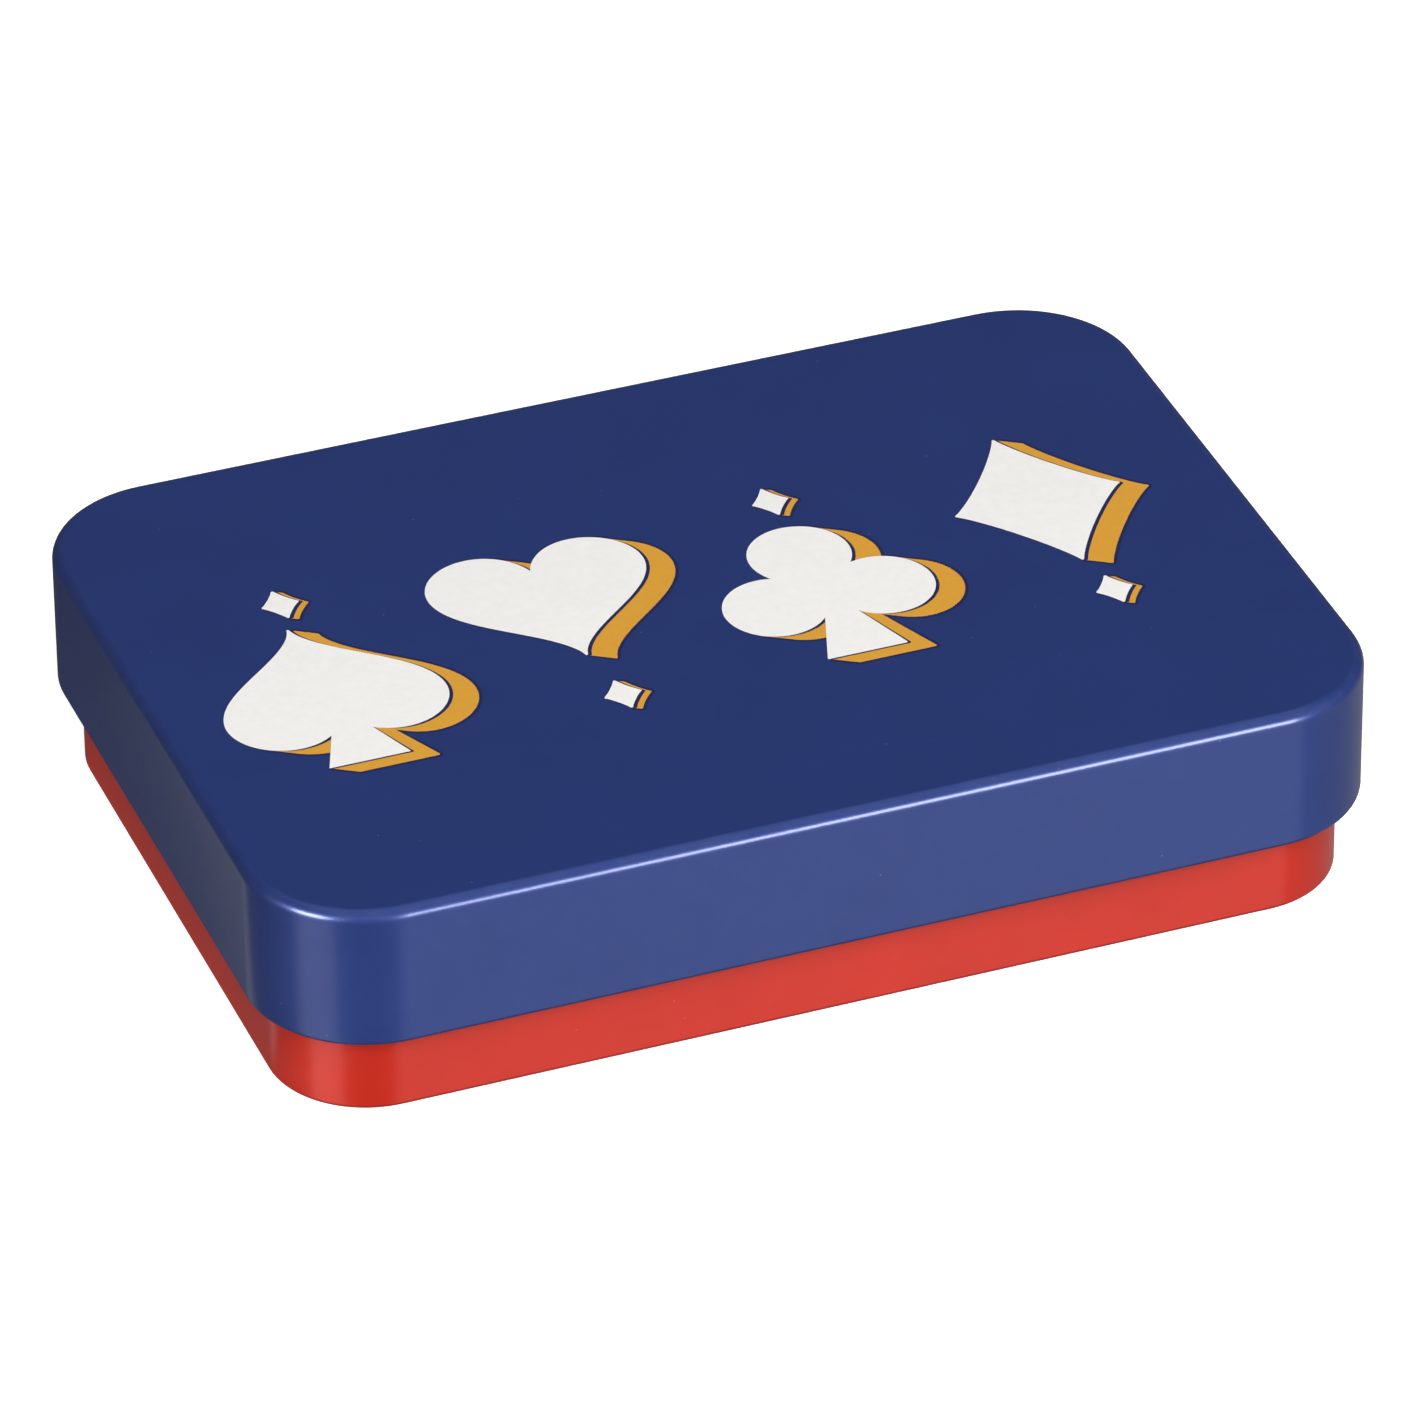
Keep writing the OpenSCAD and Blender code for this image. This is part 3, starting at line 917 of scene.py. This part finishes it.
def well_loop(grow, contents):
    """The edge of the well and its two finger recesses, grown by grow.

    A quarter of it: the recess's end, its corner, its side, the rounded
    land corner, the well's end, the well's corner and its long side."""
    half_x = contents.card_width / 2 + contents.card_gap + grow
    half_y = contents.card_depth / 2 + contents.card_gap + grow
    recess_x = TRAY[1, 0] - 2 * contents.tray_sheet - contents.recess_gap + grow
    recess_y = contents.recess_width / 2 + grow
    recess_r = contents.recess_corner + grow
    land_r = contents.land_corner - grow
    well_r = contents.well_corner + grow
    return whole_loop(np.vstack([
        [[recess_x, 0]],
        straight((recess_x, 0), (recess_x, recess_y - recess_r)),
        arc((recess_x - recess_r, recess_y - recess_r), recess_r, 0, 90, WELL_STEPS),
        arc((half_x + land_r, recess_y + land_r), land_r, 270, 180, WELL_STEPS),
        straight((half_x, recess_y + land_r), (half_x, half_y - well_r)),
        arc((half_x - well_r, half_y - well_r), well_r, 0, 90, WELL_STEPS),
        straight((half_x - well_r, half_y), (0, half_y)),
        [[0, half_y]]]))


def wall_loop(grow, contents):
    """The tray's outer wall, grown by grow, with as many stations as the well.

    Those up to the well's corner are spread over the wall's end, and the
    rest go round its corner and along its long side."""
    half_x, half_y = TRAY[1, :2] + grow
    corner = contents.tray_corner + grow
    # a point, a straight of two, two arcs and another straight of two
    end_stations = 1 + 2 + 2 * (WELL_STEPS + 1) + 2
    end = np.stack([np.full(end_stations, half_x),
                    np.linspace(0, half_y - corner - HAIR, end_stations)], axis=1)
    return whole_loop(np.vstack([
        end,
        arc((half_x - corner, half_y - corner), corner, 0, 90, WELL_STEPS),
        straight((half_x - corner, half_y), (0, half_y)),
        [[0, half_y]]]))


class TIN_OT_tray(bpy.types.Operator):
    """Build the tray: one thin sheet formed into a well with two recesses"""
    bl_idname = "tin.tray"
    bl_label = "Tray"

    def execute(self, context):
        contents = context.scene.tin_contents
        # one closed grid: the under face from the middle of the floor out to
        # the foot of the outer wall, then the upper face all the way back
        levels = [*self.sheet_rows(contents, contents.tray_sheet)[::-1],
                  *self.sheet_rows(contents, 0)]
        points = np.stack([np.insert(loop(grow, contents), 2, height, axis=1)
                           for loop, grow, height in levels], axis=1)
        columns, rows = points.shape[:2]
        faces = [*grid_faces(columns, rows).tolist(),
                 ring(columns, rows, 0)[::-1],
                 ring(columns, rows, rows - 1)]
        piece = make_piece("formed_tray", points, faces,
                           [formed_polystyrene("formed_polystyrene_black", contents.plastic)])
        dress(piece, "base", "black_plastic", "insert_tray")
        return {"FINISHED"}

    def sheet_rows(self, contents, below):
        """The tray's section from its foot over its flange to its floor.

        A row is a loop, how far it is grown, and its height. below is the
        depth under the upper face: each bend keeps its centre, so that its
        radius shrinks or grows by it."""
        bottom, top = TRAY[:, 2]
        draft, floor_bend = contents.draft, contents.floor_bend
        floor = bottom + contents.tray_sheet
        shoulder = top - contents.tray_bend
        reach = contents.tray_bend + HAIR
        turn = np.radians(np.linspace(0, 90, TRAY_STEPS + 1))
        tight, wide = contents.tray_bend - below, floor_bend + below
        rows = [(wall_loop, -below, bottom), (wall_loop, -below, shoulder - HAIR)]
        rows += [(wall_loop, tight * math.cos(a) - contents.tray_bend,
                  shoulder + tight * math.sin(a)) for a in turn]
        rows += [(wall_loop, -reach, top - below), (well_loop, reach, top - below)]
        rows += [(well_loop, contents.tray_bend - tight * math.sin(a),
                  shoulder + tight * math.cos(a)) for a in turn]
        rows += [(well_loop, below, shoulder - HAIR),
                 (well_loop, below - draft, floor + floor_bend + HAIR)]
        rows += [(well_loop, wide * math.cos(a) - draft - floor_bend,
                  floor + floor_bend - wide * math.sin(a)) for a in turn]
        rows += [(well_loop, -draft - floor_bend - HAIR, floor - below)]
        return rows


class TIN_OT_leaflet(bpy.types.Operator):
    """Finish the folded leaflet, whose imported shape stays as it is"""
    bl_idname = "tin.leaflet"
    bl_label = "Leaflet"

    def execute(self, context):
        node = frame["nodes"]["rules_leaflet"]
        node.data.materials.clear()
        node.data.materials.append(
            uncoated_paper("uncoated_paper", context.scene.tin_contents.paper))
        return {"FINISHED"}


class TIN_OT_deck(bpy.types.Operator):
    """Build the deck: four suits and two jokers, each card slipped a little"""
    bl_idname = "tin.deck"
    bl_label = "Deck"

    def execute(self, context):
        contents = context.scene.tin_contents
        first_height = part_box("cards_spades")[0].z
        finishes = [
            card_back("varnished_card_back", contents.board, contents.back, contents),
            card_edge("card_edge", contents.board, first_height, contents.card_pitch)]
        first = 0
        for kind in (*SUITS, "jokers"):
            count = contents.suit_cards if kind in SUITS else JOKERS
            self.deal(kind, first, count, first_height, contents, finishes)
            first += count
        return {"FINISHED"}

    def deal(self, kind, first, count, first_height, contents, finishes):
        """A run of cards, as one grid: card, station round it, row of its edge.

        Card i is moved by slip * (cos, sin)(turn * i), and lies i pitches up."""
        corner, sheet = contents.card_corner, contents.card_sheet
        worn = sheet / 4  # radius of a card's worn edges
        section = np.vstack([
            [[CARD_CAP, 0]],
            arc((corner - worn, worn), worn, -90, 0, 2),
            arc((corner - worn, sheet - worn), worn, 0, 90, 2),
            [[CARD_CAP, sheet]]])
        stations = stations_round(contents.card_width / 2 - corner,
                                  contents.card_depth / 2 - corner, CARD_STEPS)
        card = carried_round(stations, section)
        columns, rows = card.shape[:2]
        i = np.arange(first, first + count)
        moved = np.stack([contents.card_slip * np.cos(contents.slip_turn * i),
                          contents.card_slip * np.sin(contents.slip_turn * i),
                          first_height + i * contents.card_pitch], axis=1)
        points = card + moved[:, None, None]
        shift = np.arange(count)[:, None, None] * columns * rows
        quads = (grid_faces(columns, rows) + shift).reshape(-1, 4)
        caps = [ring(columns, rows, 0)[::-1], ring(columns, rows, rows - 1)]
        caps = (np.array(caps) + shift).reshape(-1, columns)
        # the first and the last row of faces are the flats, the others the edge
        row_of = np.tile(np.arange(rows - 1), columns)
        is_edge = ((row_of > 0) & (row_of < rows - 2)).astype(int)
        finish_of_face = [*np.tile(is_edge, count), *np.zeros(len(caps), int)]
        piece = make_piece("deck_" + kind, points, [*quads.tolist(), *caps.tolist()],
                           finishes, finish_of_face=finish_of_face)
        dress(piece, "base", "card_stock", "cards_" + kind)


# ---- the studio ----

# What lights the tin: azimuth and elevation in degrees, distance, width and
# height in metres, the setting with its radiance, and the rays it hides from
SOFTBOXES = {
    "key_strip": (21, 9, 0.9, 0.29, 0.34, "key", "diffuse"),
    "fill_strip": (-65, 9, 0.9, 0.42, 0.34, "fill", "diffuse"),
    "front_panel": (-24, 34, 1.2, 1.2, 0.6, "front", "glossy"),
    "right_panel": (50, 34, 1.2, 1.2, 0.6, "right", "glossy"),
    "back_panel": (165, 8, 1.2, 1.4, 0.6, "back", "glossy"),
    "top_panel": (0, 85, 1.3, 1.4, 1.4, "top", "glossy"),
    "ceiling": (0, 85, 1.2, 1.4, 1.4, "ceiling", "diffuse"),
    "under_panel": (0, -88, 1.3, 2.4, 2.4, "under", "glossy"),
    "key_bounce": (24.5, -32, 0.9, 0.47, 0.8, "right_card", None),
    "fill_bounce": (-65, -32, 0.9, 0.46, 0.8, "left_card", None),
    "back_bounce": (95, -32, 0.9, 1.5, 0.8, "back_card", None),
}
# The sheet beside the left wall, as what that wall mirrors and as its glow:
# width, height and place in millimetres, turn in degrees, setting and rays
SHEETS = {
    "floor_sheen": (8, 70, (-74, 28, -15), 11, "sheen", "diffuse"),
    "floor_glow": (4, 90, (-54.5, 0, -1), 0, "glow", "glossy"),
}


def towards(azimuth, elevation):
    """The direction at an azimuth and an elevation, in radians.

    Azimuth 0 is at the front, and it grows to the right."""
    return Vector((math.sin(azimuth) * math.cos(elevation),
                   -math.cos(azimuth) * math.cos(elevation),
                   math.sin(elevation)))


def flat_light(name, width, height, radiance, place, turn, hidden_from):
    """A rectangular light that the camera doesn't see.

    With power P and area A it has the radiance P / (pi A)."""
    light = bpy.data.lights.new(name, "AREA")
    light.shape = "RECTANGLE"
    light.size = width
    light.size_y = height
    light.energy = radiance * math.pi * width * height
    lamp = bpy.data.objects.new(name, light)
    lamp.matrix_world = Matrix.LocRotScale(place, turn, None)
    lamp.visible_camera = False
    if hidden_from:
        setattr(lamp, "visible_" + hidden_from, False)
    bpy.context.scene.collection.objects.link(lamp)


class TIN_OT_studio(bpy.types.Operator):
    """Set up the studio: pale floor, softboxes, bounce cards and camera"""
    bl_idname = "tin.studio"
    bl_label = "Studio"

    def execute(self, context):
        scene = context.scene
        studio = scene.tin_studio
        # floor: a disc of rings, point = radius * (cos angle, sin angle)
        radius, spokes = np.array([0, 0.1, 0.3, 0.8]), 48
        angle = np.linspace(0, 2 * math.pi, spokes, endpoint=False)[:, None]
        points = np.stack([radius * np.cos(angle), radius * np.sin(angle),
                           np.full((spokes, len(radius)), -HAIR / 2)], axis=-1)
        floor = make_piece("floor", points, grid_faces(*points.shape[:2])[:, ::-1],
                           [studio_floor("matt_paper_sweep", studio.floor)])
        # the tin is lit and mirrored by the panels and cards, not by the floor
        floor.visible_glossy = False
        floor.visible_diffuse = False
        floor.visible_shadow = False
        for name, (azimuth, elevation, distance, width, height,
                   setting, hidden_from) in SOFTBOXES.items():
            away = towards(math.radians(azimuth), math.radians(elevation))
            flat_light(name, width, height, getattr(studio, setting), away * distance,
                       away.to_track_quat("Z", "Y"), hidden_from)
        for name, (width, height, place, turn, setting, hidden_from) in SHEETS.items():
            flat_light(name, width * MM, height * MM, getattr(studio, setting),
                       Vector(place) * MM, Euler((math.pi, 0, math.radians(turn))),
                       hidden_from)
        self.paint_room(scene, studio)
        self.place_camera(scene, studio)
        scene.view_settings.view_transform = "Standard"
        return {"FINISHED"}

    def paint_room(self, scene, studio):
        """A dim room that the camera sees as white paper."""
        world = bpy.data.worlds.new("dim_room")
        world.use_nodes = True
        tree = world.node_tree
        tree.nodes.clear()
        seen = add_node(tree, "LightPath").outputs["Is Camera Ray"]
        white = linear("#ffffff")
        dim = add_node(tree, "Background", {"Color": white, "Strength": studio.room})
        paper = add_node(tree, "Background", {"Color": white, "Strength": 1.0})
        both = add_node(tree, "MixShader", {0: seen, 1: dim.outputs[0], 2: paper.outputs[0]})
        add_node(tree, "OutputWorld", {"Surface": both.outputs[0]})
        scene.world = world

    def place_camera(self, scene, studio):
        """The camera of the photograph, fitted to the tin's edges.

        It stands back along its view, then across and up in its own frame."""
        back = towards(studio.azimuth, studio.elevation)
        level = (-back).cross(Vector((0, 0, 1))).normalized()
        upright = level.cross(-back)
        right = math.cos(studio.roll) * level + math.sin(studio.roll) * upright
        up = math.cos(studio.roll) * upright - math.sin(studio.roll) * level
        place = back * studio.distance + right * studio.across + up * studio.up
        data = bpy.data.cameras.new("camera")
        data.lens = studio.lens
        data.sensor_width = 36.0
        data.clip_start = 0.05
        data.clip_end = 20.0
        camera = bpy.data.objects.new("camera", data)
        turn = Matrix((right, up, back)).transposed().to_4x4()
        camera.matrix_world = Matrix.Translation(place) @ turn
        scene.collection.objects.link(camera)
        scene.camera = camera


class TIN_PT_panel(bpy.types.Panel):
    """Lists the pieces of the tin"""
    bl_label = "Card game tin"
    bl_idname = "TIN_PT_panel"
    bl_space_type = "VIEW_3D"
    bl_region_type = "UI"
    bl_category = "Tin"

    def draw(self, context):
        for operator in OPERATORS:
            self.layout.operator(operator.bl_idname)
        for group in SETTINGS:
            box = self.layout.box()
            settings = getattr(context.scene, group)
            for name in settings.__annotations__:
                box.prop(settings, name)


SETTINGS = {
    "tinplate": TinplateSettings,
    "tin_print": PrintSettings,
    "tin_contents": ContentsSettings,
    "tin_studio": StudioSettings,
}
OPERATORS = (TIN_OT_studio, TIN_OT_lid, TIN_OT_print, TIN_OT_base, TIN_OT_hinge_wire,
             TIN_OT_tray, TIN_OT_leaflet, TIN_OT_deck)


def register():
    for made in (*SETTINGS.values(), *OPERATORS, TIN_PT_panel):
        bpy.utils.register_class(made)
    for name, group in SETTINGS.items():
        setattr(bpy.types.Scene, name, bpy.props.PointerProperty(type=group))


def unregister():
    for name in SETTINGS:
        delattr(bpy.types.Scene, name)
    for made in reversed((*SETTINGS.values(), *OPERATORS, TIN_PT_panel)):
        bpy.utils.unregister_class(made)


def main():
    """Builds everything in order."""
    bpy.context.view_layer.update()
    register()
    bpy.ops.tin.studio()
    bpy.ops.tin.lid()
    bpy.ops.tin.print()
    bpy.ops.tin.base()
    bpy.ops.tin.hinge_wire()
    bpy.ops.tin.tray()
    bpy.ops.tin.leaflet()
    bpy.ops.tin.deck()


if __name__ == "__main__":
    main()
